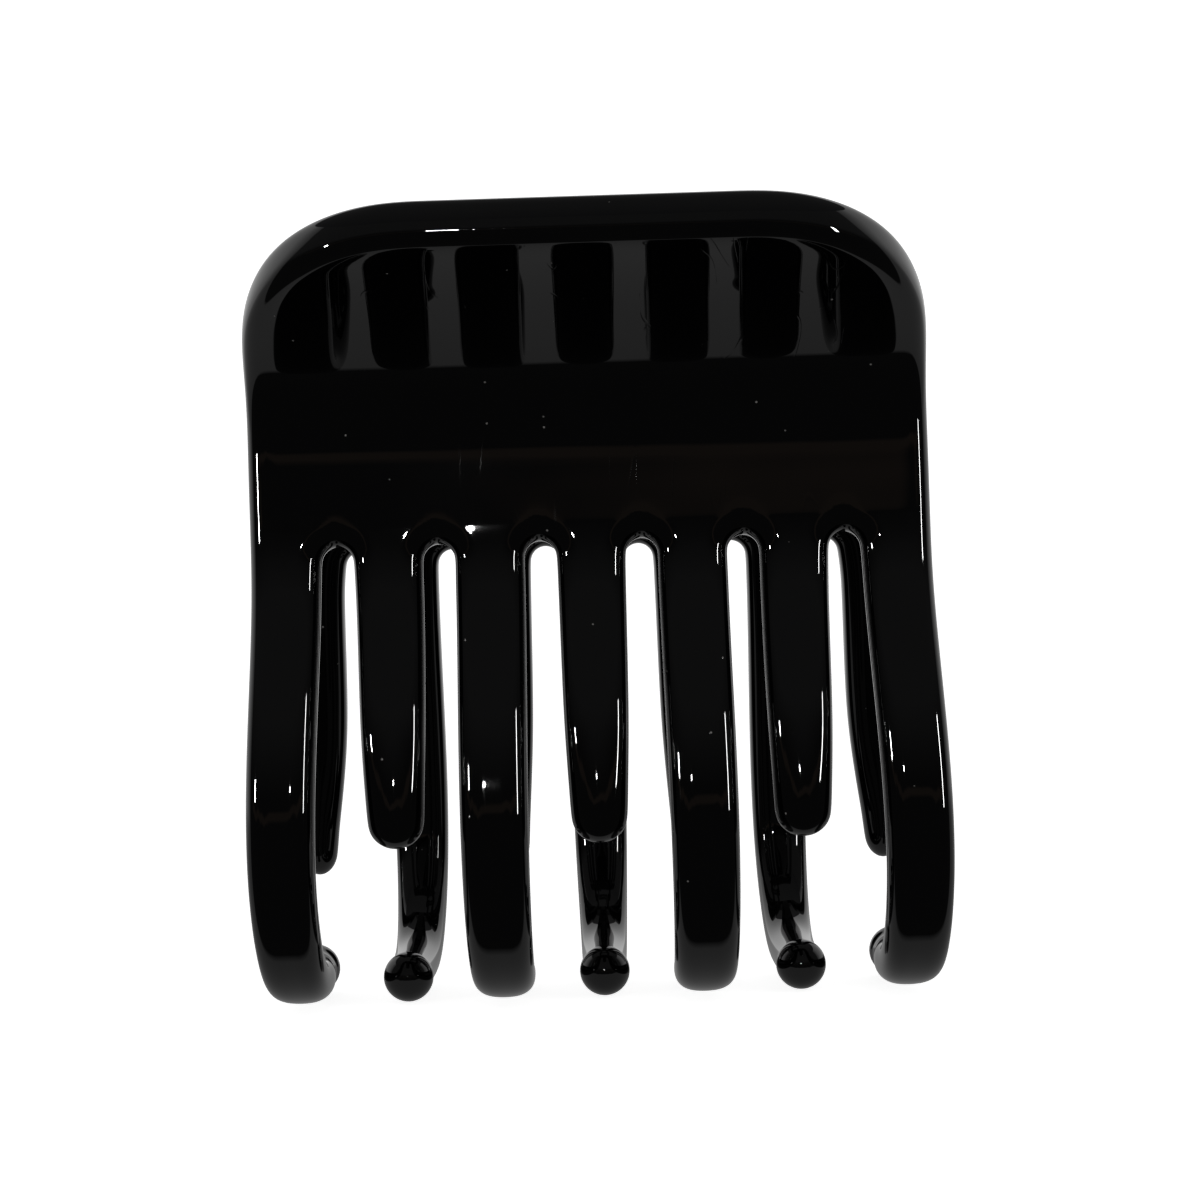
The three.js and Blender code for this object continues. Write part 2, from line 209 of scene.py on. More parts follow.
class JawSettings(bpy.types.PropertyGroup):
    """Sizes of the moulded jaws."""

    half_width: length("Half width", "From the middle out to the waist's side", 30.2 * MM)
    thickness: length("Thickness", "Of the plate and of the teeth at their roots", 4.5 * MM)
    edge: length("Edge rounding", "Radius of every edge of the plate", 1.6 * MM)
    corner: length("Corner", "Radius of the wing's corners, on the flat blank", 15.3 * MM)
    pitch: length("Tooth pitch", "From the middle of a tooth to the next", 9 * MM)
    slot: length("Slot radius", "Half the gap between two teeth, at its top", 1.45 * MM)
    slot_top: length("Slot top", "From the rim down the blank to the slots", 36.2 * MM)
    waist: length("Waist", "From the rim down the blank to the narrowest place", 30 * MM)
    waist_face: length("Waist face", "From the middle of the clip to the waist's face", 14.8 * MM)
    ball: length("Ball", "Radius of the ball at a long tooth's tip", 2.35 * MM)
    ball_neck: length("Ball neck", "Radius of the tooth where the ball begins", 1.95 * MM)
    ball_centre: length("Ball centre", "From the rim down the blank to a ball", 91.3 * MM)
    straight_side: length("Straight side", "Down to which the outer sides are straight", 65 * MM)
    end_round: length("Tip rounding", "Length of a short tooth's rounded end", 2.3 * MM)
    smoothing: IntProperty(
        name="Smoothing",
        description="Subdivisions of the moulded surface",
        default=2,
        min=0,
        max=3,
    )


class HingeSettings(bpy.types.PropertyGroup):
    """Sizes of the lugs, the pin and the spring."""

    height: length("Hinge height", "Of the pin's axis over the surface", 47 * MM)
    pin_radius: length("Pin radius", "Of the pin's shank", 1 * MM)
    pin_reach: length("Pin reach", "Half the length of the pin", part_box("hinge_pin")[1].x)
    head_radius: length("Head radius", "Of the pin's heads", 1.8 * MM)
    head_height: length("Head height", "Of the pin's heads", 1 * MM)
    lug_thickness: length("Lug thickness", "Along the pin", 3 * MM)
    lug_radius: length("Lug radius", "Of a lug's round end", 3.6 * MM)
    bore: length("Bore", "Radius of the hole in a lug", 1.3 * MM)
    front_lug: length("Front lug", "From the middle to each lug of the front jaw", 10.6 * MM)
    back_lug: length("Back lug", "From the middle to each lug of the back jaw", 7 * MM)
    wire: length("Wire", "Radius of the spring's wire", 0.6 * MM)
    coil: length("Coil", "Mean radius of the spring's coil", 2.15 * MM)
    coil_reach: length("Coil reach", "Half the length of the coil", 4.2 * MM)
    leg_end: length("Leg end", "From the rim down the blank to a leg's end", 20 * MM)
    turns: IntProperty(name="Turns", description="Of the spring's coil", default=5, min=1)


class FinishSettings(bpy.types.PropertyGroup):
    """Colours and gloss of the finishes."""

    plastic: colour("Plastic", "Colour of the mouldings", (0.001, 0.001, 0.0012))
    plastic_roughness: FloatProperty(
        name="Plastic roughness",
        description="Of clean moulded plastic",
        default=0.014,
        min=0,
        max=1,
    )
    pin_steel: colour("Pin steel", "Colour of the nickel-plated pin", (0.66, 0.65, 0.62))
    spring_steel: colour("Spring steel", "Colour of the spring's wire", (0.50, 0.50, 0.51))
    dust: colour("Dust", "Colour of the dust and lint on every piece", (0.32, 0.31, 0.30))


class StudioSettings(bpy.types.PropertyGroup):
    """Camera and lights."""

    distance: length("Camera distance", "From the middle of the clip", 0.2744)
    camera_height: length("Camera height", "Over the surface", 0.0363)
    camera_side: length("Camera side", "From the middle of the clip towards +X", 0.00065)
    focal: FloatProperty(
        name="Focal length", description="Of the lens", default=88.4, min=1, unit="CAMERA"
    )
    roll: FloatProperty(
        name="Roll", description="Of the camera", default=math.radians(1.85), subtype="ANGLE"
    )
    key_power: FloatProperty(
        name="Key power", description="Of the large soft light overhead", default=0.4, unit="POWER"
    )
    glint_power: FloatProperty(
        name="Glint power", description="Of the small window lights", default=0.5, unit="POWER"
    )


# ---- The blank and its bend --------------------------------------------------------------------


class Bend:
    """Puts points (u, s, w) of the flat blank in their places on the front jaw."""

    STEP = 0.05 * MM

    def __init__(self, jaw):
        count = round((jaw.ball_centre + 3 * jaw.ball) / self.STEP)
        self.s = np.arange(count + 1) * self.STEP
        self.heading = np.array([smooth(BEND, s) for s in self.s])
        halfway = np.array([smooth(BEND, s + self.STEP / 2) for s in self.s[:-1]])
        y = np.concatenate([[0], np.cumsum(np.sin(halfway)) * self.STEP])
        z = -np.concatenate([[0], np.cumsum(np.cos(halfway)) * self.STEP])
        through = np.array([smooth(LONG_THICKNESS, s) / 2 for s in self.s])
        lowest = max(
            np.max(through * np.sin(self.heading) - z),
            jaw.ball - np.interp(jaw.ball_centre, self.s, z),
        )
        waist_y = np.interp(jaw.waist, self.s, y)
        self.y = y + jaw.thickness / 2 - jaw.waist_face - waist_y
        self.z = z + lowest

    def __call__(self, points):
        """An array of the bent places of the points. Above the rim the bend goes on straight."""
        u, s, w = np.array(points, float).reshape(-1, 3).T
        heading = np.interp(s, self.s, self.heading)
        past = np.minimum(s, 0)
        y = np.interp(s, self.s, self.y) + past * np.sin(heading) - w * np.cos(heading)
        z = np.interp(s, self.s, self.z) - past * np.cos(heading) - w * np.sin(heading)
        return np.stack([u, y, z], axis=1)


class Shell:
    """The faces of a closed surface by their corners; corners in the same place are one."""

    def __init__(self):
        self.numbers = {}
        self.points = []
        self.faces = []

    def corner(self, point):
        key = tuple(round(value * 1e7) for value in point)
        if key not in self.numbers:
            self.numbers[key] = len(self.points)
            self.points.append(tuple(point))
        return self.numbers[key]

    def face(self, *corners):
        self.faces.append([self.corner(point) for point in corners])

    def stack(self, loops):
        """Faces between loops of the same number of corners, one inside or below the other."""
        for above, below in zip(loops, loops[1:]):
            for k in range(len(above)):
                after = (k + 1) % len(above)
                self.face(above[k], below[k], below[after], above[after])

    def close(self, loop, tip):
        """Faces from a loop to one point."""
        for k in range(len(loop)):
            self.face(loop[k], tip, loop[(k + 1) % len(loop)])

    def build(self, name, place=None):
        """An object of the faces, with its points moved by place, facing out."""
        mesh = bpy.data.meshes.new(name)
        points = place(self.points) if place else self.points
        mesh.from_pydata([tuple(point) for point in points], [], self.faces)
        shape = bmesh.new()
        shape.from_mesh(mesh)
        bmesh.ops.recalc_face_normals(shape, faces=shape.faces)
        shape.to_mesh(mesh)
        shape.free()
        mesh.shade_smooth()
        made = bpy.data.objects.new(name, mesh)
        bpy.context.scene.collection.objects.link(made)
        return made


def widened(points, spread):
    """Points of the blank with their u scaled by the spread, stations (s, scale)."""
    return [(u * smooth(spread, s), s, w) for u, s, w in points]


def settle(piece):
    """Replaces a piece's mesh by what its modifiers make of it."""
    depsgraph = bpy.context.evaluated_depsgraph_get()
    mesh = bpy.data.meshes.new_from_object(piece.evaluated_get(depsgraph))
    piece.modifiers.clear()
    piece.data = mesh
    mesh.name = piece.name


# ---- A jaw's plate and teeth -------------------------------------------------------------------

ROUND_STEPS = 3  # facets around a quarter of an edge's rounding
SLOT_STEPS = 4  # facets around a quarter of a slot's top
CORNER_STEPS = 5  # facets around half of a wing's corner
STRAIGHT_ROWS = 8  # rows of the wing below its corners
INNER = 3  # points across a tooth between its rounded edges
TIP_STEPS = 4
BALL_STEPS = 7
TOOTH_STEP = 2 * MM  # between rows of a tooth
WING_COLUMNS = (INNER + 1) * TOOTH_COUNT
CORNER_COLUMNS = WING_COLUMNS // 5  # of them, those that end in a corner of the rim, at each side
QUARTER = math.pi / 2
RINGS = [
    (1 - math.cos(QUARTER * k / ROUND_STEPS), 1 - math.sin(QUARTER * k / ROUND_STEPS))
    for k in range(ROUND_STEPS + 1)
]  # depth behind the edge and drop below the face, in edge radii


def between(a, b):
    """The points across a tooth between its two rounded edges."""
    steps = [(k + 1) / (INNER + 1) for k in range(INNER)]
    return [tuple(mix(p, q, t) for p, q in zip(a, b)) for t in steps]


class Plate:
    """The wing and the teeth of one jaw as a shell on the blank."""

    def __init__(self, jaw, teeth):
        self.jaw = jaw
        self.half = jaw.thickness / 2
        self.slot_centre = jaw.slot_top + jaw.slot
        self.shell = Shell()
        self.wing()
        for number, tooth in enumerate(teeth):
            self.tooth(number - (TOOTH_COUNT - 1) / 2, tooth)

    def wing_rows(self):
        """Rows of points inside the rim's rounding. Those near the rim bow up into its corners."""
        jaw = self.jaw
        inner = jaw.corner - jaw.edge
        reach = jaw.half_width - jaw.edge
        bounds = [(i - TOOTH_COUNT / 2) * jaw.pitch for i in range(TOOTH_COUNT + 1)]
        bounds[0], bounds[-1] = -reach, reach
        columns = [bounds[0]]
        for low, high in zip(bounds, bounds[1:]):
            columns += [mix(low, high, (k + 1) / (INNER + 1)) for k in range(INNER + 1)]
        top_reach = reach - inner + inner * math.sqrt(0.5)
        top = []
        for c in range(WING_COLUMNS + 1):
            from_corner = min(c, WING_COLUMNS - c)
            if from_corner >= CORNER_COLUMNS:
                along = (c - CORNER_COLUMNS) / (WING_COLUMNS - 2 * CORNER_COLUMNS)
                top.append((mix(-1, 1, along) * (reach - inner), jaw.edge))
                continue
            turn = mix(math.pi / 4, 0, from_corner / CORNER_COLUMNS)
            u = reach - inner + inner * math.sin(turn)
            top.append((math.copysign(u, columns[c]), jaw.corner - inner * math.cos(turn)))
        rows = []
        for q in range(CORNER_STEPS + 1):
            turn = mix(math.pi / 4, QUARTER, q / CORNER_STEPS)
            side_u = reach - inner + inner * math.sin(turn)
            side_s = jaw.corner - inner * math.cos(turn)
            down = (side_s - top[0][1]) / (jaw.corner - top[0][1])
            row = []
            for (top_u, top_s), column in zip(top, columns):
                u = mix(top_u / top_reach, column / reach, down) * side_u
                row.append((u, side_s + (1 - down) * (top_s - top[0][1])))
            rows.append(row)
        shoulder = jaw.slot_top - jaw.edge
        for k in range(STRAIGHT_ROWS):
            s = mix(jaw.corner, shoulder, (k + 1) / STRAIGHT_ROWS)
            rows.append([(u, s) for u in columns])
        return rows

    def both(self, *corners):
        """A face on the outside of the plate, and its mirror image on the inside."""
        self.shell.face(*corners)
        self.shell.face(*[(u, s, -w) for u, s, w in reversed(corners)])

    def wing(self):
        jaw = self.jaw
        rows = self.wing_rows()
        for above, below in zip(rows, rows[1:]):
            for c in range(WING_COLUMNS):
                corners = above[c], below[c], below[c + 1], above[c + 1]
                self.both(*[(u, s, self.half) for u, s in corners])
        # The rounded rim, from the left shoulder up, over the wing and down to the right one.
        line = [row[0] for row in reversed(rows)] + rows[0][1:-1] + [row[-1] for row in rows]
        rim = []
        for u, s in line:
            past_u = math.copysign(max(abs(u) - (jaw.half_width - jaw.corner), 0), u)
            past = Vector((past_u, min(s - jaw.corner, 0))).normalized() * jaw.edge
            ring = []
            for depth, drop in RINGS:
                out = past * (1 - depth)
                ring.append((u + out.x, s + out.y, self.half - jaw.edge * drop))
            rim.append(ring)
        for before, after in zip(rim, rim[1:]):
            for k in range(ROUND_STEPS):
                self.both(after[k + 1], after[k], before[k], before[k + 1])
            (au, a_s, aw), (bu, b_s, bw) = before[0], after[0]
            self.shell.face((bu, b_s, bw), (bu, b_s, -bw), (au, a_s, -aw), (au, a_s, aw))

    def edges_beside_slot(self, place, hand, turn):
        """The rounded edge of a slot's top, or of the wing's side, at one row of a tooth."""
        jaw = self.jaw
        outermost = abs(place + hand / 2) >= TOOTH_COUNT / 2
        points = []
        for depth, drop in RINGS:
            w = self.half - jaw.edge * drop
            reach = jaw.slot + jaw.edge * (1 if outermost else depth)
            s = self.slot_centre - reach * math.cos(turn)
            u = (place + hand / 2) * jaw.pitch - hand * reach * math.sin(turn)
            if outermost:
                u = hand * (jaw.half_width - jaw.edge * depth)
            points.append((u, s, w))
        return points

    def section(self, centre, s, half_across, half_through, roundness):
        """A loop across a tooth, from a rounded rectangle (0) to an ellipse (1)."""
        corner = min(self.jaw.edge, half_through, half_across)
        left = []
        for depth, drop in RINGS:
            left.append((corner * depth - half_across, half_through - corner * drop))
        right = [(-across, through) for across, through in reversed(left)]
        over = left + between(left[-1], right[0]) + right
        loop = over + [(across, -through) for across, through in reversed(over)]
        points = []
        for k, (across, through) in enumerate(loop):
            angle = math.pi - (k + 0.5) * 2 * math.pi / len(loop)
            u = mix(across, half_across * math.cos(angle), roundness)
            w = mix(through, half_through * math.sin(angle), roundness)
            points.append((centre + u, s, w))
        return points

    def middle(self, place, tooth, s):
        """Where a tooth's middle lies. The outer teeth keep their outer side on the clip's side."""
        if abs(place) < (TOOTH_COUNT - 1) / 2:
            return place * (self.jaw.pitch - smooth(tooth.lean, s))
        width = smooth(tooth.width, min(s, self.jaw.straight_side))
        return math.copysign(self.jaw.half_width - width / 2, place)

    def tooth(self, place, tooth):
        """A tooth from the slots' tops to its tip."""
        jaw = self.jaw
        loops = []
        for j in range(SLOT_STEPS + 1):
            turn = QUARTER * j / SLOT_STEPS
            left = self.edges_beside_slot(place, -1, turn)
            right = self.edges_beside_slot(place, 1, turn)
            over = left + between(left[-1], right[-1]) + right[::-1]
            loops.append(over + [(u, s, -w) for u, s, w in reversed(over)])
        neck = jaw.ball_centre - math.sqrt(jaw.ball**2 - jaw.ball_neck**2)
        last = tooth.end - jaw.end_round if tooth.end else neck
        count = round((last - self.slot_centre) / TOOTH_STEP)
        for j in range(count):
            s = mix(self.slot_centre, last, (j + 1) / count)
            roundness = smooth([(tooth.round_from, 0), (last, 1)], s)
            half_across = smooth(tooth.width, s) / 2
            half_through = smooth(tooth.thickness, s) / 2
            centre = self.middle(place, tooth, s)
            loops.append(self.section(centre, s, half_across, half_through, roundness))
        if tooth.end:
            steps, start = TIP_STEPS, 0.0
            middle, along = last, jaw.end_round
            across, through = smooth(tooth.width, last) / 2, smooth(tooth.thickness, last) / 2
        else:
            steps, start = BALL_STEPS, -math.acos(jaw.ball_neck / jaw.ball)
            middle, along = jaw.ball_centre, jaw.ball
            across = through = jaw.ball
        centre = self.middle(place, tooth, last)
        for j in range(1, steps):
            turn = mix(start, QUARTER, j / steps)
            s = middle + along * math.sin(turn)
            loops.append(
                self.section(centre, s, across * math.cos(turn), through * math.cos(turn), 1)
            )
        self.shell.stack(loops)
        self.shell.close(loops[-1], (centre, middle + along, 0))


# ---- Lugs and ribs behind the wing -------------------------------------------------------------

LUG_ROOT = 22.5 * MM, 33 * MM  # s of the upper and the lower end of a lug's root
ROOT_FILLET = 0.9 * MM
LUG_EDGE = 0.45 * MM  # rounding of a lug's edges
BORE_WALL = 0.3 * MM  # from a bore to the place where a lug's web begins
WEB_INSET = 0.05 * MM  # of the web's end behind the round end's face
BORE_CHAMFER = 0.25 * MM
FILLET_STEPS = 4
WEB_STEPS = 6
RIB = {"from": 17 * MM, "to": 23 * MM, "height": 1.7 * MM, "thickness": 1.2 * MM, "gap": 0.5 * MM}
RIB_STEPS = 14  # along a rib
RIB_FACETS = 8  # over its rounded top
RIB_END = 0.02  # share of its length after which it stands up
RIB_FULLNESS = 0.45  # the lower, the steeper its ends
SUNK = 1 * MM  # how far a root reaches into the plate


def rounded_loop(half_across, half_along, corner, steps=3):
    """Points (across, along) of a rounded rectangle, going round once."""
    points = []
    for quarter in range(4):
        turn = quarter * QUARTER
        centre = Vector((half_across - corner, half_along - corner))
        centre.x *= 1 if quarter in (0, 3) else -1
        centre.y *= 1 if quarter in (0, 1) else -1
        for k in range(steps + 1):
            angle = turn + QUARTER * k / steps
            points.append(centre + corner * Vector((math.cos(angle), math.sin(angle))))
    return points


def web(bend, jaw, hinge, x):
    """The part of a lug between the plate and the pin, flared at its root."""
    shell = Shell()
    loops = []
    low, high = LUG_ROOT
    root_half = (high - low) / 2
    head_y = -hinge.bore - BORE_WALL
    head_half = math.sqrt(hinge.lug_radius**2 - head_y**2) - WEB_INSET
    foot_reach = abs(bend([(0, (low + high) / 2, -jaw.thickness / 2)])[0][1] - head_y)
    heights = [-SUNK]
    for k in range(FILLET_STEPS + 1):
        heights.append(ROOT_FILLET * (1 - math.cos(QUARTER * k / FILLET_STEPS)))
    for k in range(WEB_STEPS):
        heights.append(mix(ROOT_FILLET, foot_reach, (k + 1) / WEB_STEPS))
    for height in heights:
        inside = ROOT_FILLET - min(max(height, 0), ROOT_FILLET)
        flare = ROOT_FILLET - math.sqrt(ROOT_FILLET**2 - inside**2)
        up = max(height, 0) / foot_reach
        half_across = hinge.lug_thickness / 2 + flare
        ring = rounded_loop(half_across, root_half + flare, LUG_EDGE + flare)
        depth = -jaw.thickness / 2 - min(height, 0)
        feet = bend([(x + across, (low + high) / 2 + along, depth) for across, along in ring])
        loop = []
        for (across, along), foot in zip(ring, feet):
            head_z = hinge.height - along * head_half / (root_half + flare)
            head = Vector((x + across, head_y, head_z))
            loop.append(tuple(Vector(foot).lerp(head, up)))
        loops.append(loop)
    shell.stack(loops)
    shell.face(*loops[0])
    shell.face(*reversed(loops[-1]))
    return shell.build("web")


def turned(name, profile, axis_height, steps, x=0.0):
    """A ring or a solid turned about the hinge's axis, from its profile (radius, along)."""
    shell = Shell()
    loops = []
    for radius, along in profile:
        if radius == 0:
            loops.append((x + along, 0, axis_height))
            continue
        ring = [2 * math.pi * k / steps for k in range(steps)]
        loops.append(
            [
                (x + along, radius * math.cos(angle), axis_height + radius * math.sin(angle))
                for angle in ring
            ]
        )
    for before, after in zip(loops, loops[1:]):
        if isinstance(before, tuple):
            shell.close(after, before)
        elif isinstance(after, tuple):
            shell.close(before, after)
        else:
            shell.stack([before, after])
    if isinstance(loops[0], list):
        shell.stack([loops[-1], loops[0]])
    return shell.build(name)


def boss(hinge, x):
    """The round end of a lug, with its bore."""
    half = hinge.lug_thickness / 2
    arc = [QUARTER * k / FILLET_STEPS for k in range(FILLET_STEPS + 1)]
    outer = [
        (
            hinge.lug_radius - LUG_EDGE * (1 - math.sin(angle)),
            half - LUG_EDGE * (1 - math.cos(angle)),
        )
        for angle in arc
    ]
    right = [(hinge.bore, half - BORE_CHAMFER), (hinge.bore + BORE_CHAMFER, half)] + outer
    left = [(radius, -along) for radius, along in reversed(right)]
    return turned("boss", right + left, hinge.height, 64, x)


def rib(bend, jaw, x):
    """A low rib on the inner face of the wing, beside a leg of the spring."""
    shell = Shell()
    loops = []
    half = RIB["thickness"] / 2
    arc = [math.pi * j / RIB_FACETS for j in range(RIB_FACETS + 1)]
    for k in range(RIB_STEPS + 1):
        along = k / RIB_STEPS
        s = mix(RIB["from"], RIB["to"], along)
        inside = min(max(along, RIB_END), 1 - RIB_END)
        height = RIB["height"] * math.sin(math.pi * inside) ** RIB_FULLNESS
        top = max(height - half, 0.0)
        round_top = min(half, height)
        over = [(half * math.cos(angle), top + round_top * math.sin(angle)) for angle in arc]
        ring = [(half, -SUNK)] + over + [(-half, -SUNK)]
        loops.append([(x + across, s, -jaw.thickness / 2 - up) for across, up in ring])
    shell.stack(loops)
    shell.face(*loops[0])
    shell.face(*reversed(loops[-1]))
    return shell.build("rib", bend)


MOULDED_SHARP = math.radians(38)


def join_into(piece, parts):
    """Joins the parts to the piece as one solid."""
    group = bpy.data.collections.new("parts")
    bpy.context.scene.collection.children.link(group)
    for part in parts:
        bpy.context.scene.collection.objects.unlink(part)
        group.objects.link(part)
    union = piece.modifiers.new("union", "BOOLEAN")
    union.operation = "UNION"
    union.operand_type = "COLLECTION"
    union.collection = group
    union.solver = "EXACT"
    settle(piece)
    for part in parts:
        bpy.data.objects.remove(part)
    bpy.data.collections.remove(group)


def moulding(name, teeth, spread, lug_places):
    """One jaw in the front jaw's place, as one solid: plate and teeth, lugs and spring ribs."""
    jaw, hinge = bpy.context.scene.clip_jaw, bpy.context.scene.clip_hinge
    bend = Bend(jaw)
    made = Plate(jaw, teeth).shell.build(name, lambda points: bend(widened(points, spread)))
    surface = made.modifiers.new("surface", "SUBSURF")
    surface.levels = surface.render_levels = jaw.smoothing
    settle(made)
    parts = []
    for x in lug_places:
        parts += [web(bend, jaw, hinge, x), boss(hinge, x)]
    for hand in (-1, 1):
        off = hinge.wire + RIB["gap"] + RIB["thickness"] / 2
        parts.append(rib(bend, jaw, -hinge.coil_reach + hand * off))
    join_into(made, parts)
    made.data.shade_smooth()
    made.data.set_sharp_from_angle(angle=MOULDED_SHARP)
    return made


# ---- Pin and spring ----------------------------------------------------------------------------

STEEL_SHARP = math.radians(50)
DOME = 0.62  # of a pin head's height
PIN_EDGE = 0.12 * MM  # chamfer of a pin head
PIN_NECK = 0.2 * MM, 0.1 * MM  # length and height of the flare under a head
DIMPLE = 0.14 * MM, 0.55 * MM  # depth and radius of the mark that peening left in a head
SHANK_STEPS = 12
DOME_STEPS = 8
LEG_STEPS = 24
COIL_STEPS = 32  # around a turn of the spring
LEG_GAP = 0.3 * MM  # from a leg's end to the wing behind it
CROPPED = 0.3, 0.7  # length and end radius of the wire's chamfered ends, in wire radii
UV_LENGTH = 40  # of the wire, in wire radii, for one repeat of its finish


def pin_profile(hinge):
    """Half of the pin's profile (radius, along) from its middle out: shank, neck, domed head."""
    under = hinge.pin_reach - hinge.head_height
    dome = hinge.head_height * DOME
    neck_length, neck_height = PIN_NECK
    points = []
    for k in range(SHANK_STEPS + 1):
        points.append((hinge.pin_radius, mix(0, under - neck_length, k / SHANK_STEPS)))
    points += [
        (hinge.pin_radius + neck_height, under),
        (hinge.head_radius - PIN_EDGE, under),
        (hinge.head_radius, under + PIN_EDGE),
        (hinge.head_radius, hinge.pin_reach - dome),
    ]
    depth, spread = DIMPLE
    for k in range(1, DOME_STEPS + 1):
        turn = QUARTER * k / DOME_STEPS
        radius = hinge.head_radius * math.cos(turn)
        along = hinge.pin_reach - dome * (1 - math.sin(turn))
        dimple = depth * math.exp(-((radius / spread) ** 2))
        points.append((radius if k < DOME_STEPS else 0, along - dimple))
    return points


def spring_path(jaw, hinge):
    """The middle of the wire: in along one leg, round the coil, and out along the other leg."""
    under = -jaw.thickness / 2 - hinge.wire - LEG_GAP
    _, seat_y, seat_z = Bend(jaw)([(0, hinge.leg_end, under)])[0].tolist()
    reach = math.hypot(seat_y, seat_z - hinge.height)
    # The leg touches the coil where the coil's radius is square to the leg.
    upwards = math.atan2(seat_z - hinge.height, seat_y)
    start = upwards + math.acos(hinge.coil / reach)
    leaving = math.pi - start + 2 * math.pi * (hinge.turns + 1)

    def on_coil(angle, x):
        y = hinge.coil * math.cos(angle)
        return Vector((x, y, hinge.height + hinge.coil * math.sin(angle)))

    side = hinge.coil_reach
    first = Vector((-side, seat_y, seat_z))
    last = Vector((side, -seat_y, seat_z))
    points = []
    for k in range(LEG_STEPS):
        points.append(first.lerp(on_coil(start, -side), k / LEG_STEPS))
    steps = round(COIL_STEPS * (leaving - start) / (2 * math.pi))
    for k in range(steps + 1):
        points.append(on_coil(mix(start, leaving, k / steps), mix(-side, side, k / steps)))
    for k in range(LEG_STEPS):
        points.append(on_coil(leaving, side).lerp(last, (k + 1) / LEG_STEPS))
    return points


def wire_tangents(path):
    """The way the wire runs at each point of its path."""
    steps = [(b - a).normalized() for a, b in zip(path, path[1:])]
    inner = [(a + b).normalized() for a, b in zip(steps, steps[1:])]
    return [steps[0], *inner, steps[-1]]


def wire_along(name, path, radius, sides=16):
    """A round wire along a path, with its ends cropped and slightly rounded, and a UV map that
    runs round it and along it."""
    tangents = wire_tangents(path)
    normal = tangents[0].orthogonal().normalized()
    chamfer, end_scale = radius * CROPPED[0], CROPPED[1]
    last = len(path) - 1
    shape = bmesh.new()
    uv = shape.loops.layers.uv.new("wire")
    loops, lengths_along = [], []
    travelled = 0.0
    for k, (point, tangent) in enumerate(zip(path, tangents)):
        if k:
            travelled += (point - path[k - 1]).length
        normal = (normal - tangent * normal.dot(tangent)).normalized()
        across = tangent.cross(normal)
        ends = {0: [(-chamfer, end_scale), (0, 1)], last: [(0, 1), (chamfer, end_scale)]}
        inset = {0: chamfer, last: -chamfer}.get(k, 0)
        for ahead, scale in ends.get(k, [(0, 1)]):
            middle = point + tangent * (ahead + inset)
            ring = []
            for j in range(sides):
                angle = 2 * math.pi * j / sides
                out = normal * math.cos(angle) + across * math.sin(angle)
                ring.append(shape.verts.new(middle + out * radius * scale))
            loops.append(ring)
            lengths_along.append(travelled + ahead)
    for i, (before, beyond) in enumerate(zip(loops, loops[1:])):
        for j in range(sides):
            after = (j + 1) % sides
            face = shape.faces.new((before[j], before[after], beyond[after], beyond[j]))
            places = (j, i), (j + 1, i), (j + 1, i + 1), (j, i + 1)
            for loop, (round_it, along) in zip(face.loops, places):
                loop[uv].uv = (round_it / sides, lengths_along[along] / (UV_LENGTH * radius))
    shape.faces.new(reversed(loops[0]))
    shape.faces.new(loops[-1])
    bmesh.ops.recalc_face_normals(shape, faces=shape.faces)
    mesh = bpy.data.meshes.new(name)
    shape.to_mesh(mesh)
    shape.free()
    mesh.shade_smooth()
    mesh.set_sharp_from_angle(angle=STEEL_SHARP)
    made = bpy.data.objects.new(name, mesh)
    bpy.context.scene.collection.objects.link(made)
    return made


# ---- Finishes ----------------------------------------------------------------------------------


def node(tree, kind, inputs=None, **settings):
    """A new shader node. An input given a socket is linked to it, any other value is set."""
    made = tree.nodes.new(kind)
    for name, value in settings.items():
        setattr(made, name, value)
    for name, value in (inputs or {}).items():
        if isinstance(value, bpy.types.NodeSocket):
            tree.links.new(value, made.inputs[name])
        else:
            made.inputs[name].default_value = value
    return made


def math_node(tree, operation, *values, clamp=False):
    made = node(tree, "ShaderNodeMath", dict(enumerate(values)), operation=operation)
    made.use_clamp = clamp
    return made.outputs[0]


def ramp(tree, value, low, high):
    """0 up to low and 1 from high on."""
    inputs = {"Value": value, "From Min": low, "From Max": high}
    return node(tree, "ShaderNodeMapRange", inputs).outputs["Result"]


def group_socket(tree, name, way, kind="NodeSocketFloat", default=None):
    made = tree.interface.new_socket(name=name, in_out=way, socket_type=kind)
    if default is not None:
        made.default_value = default


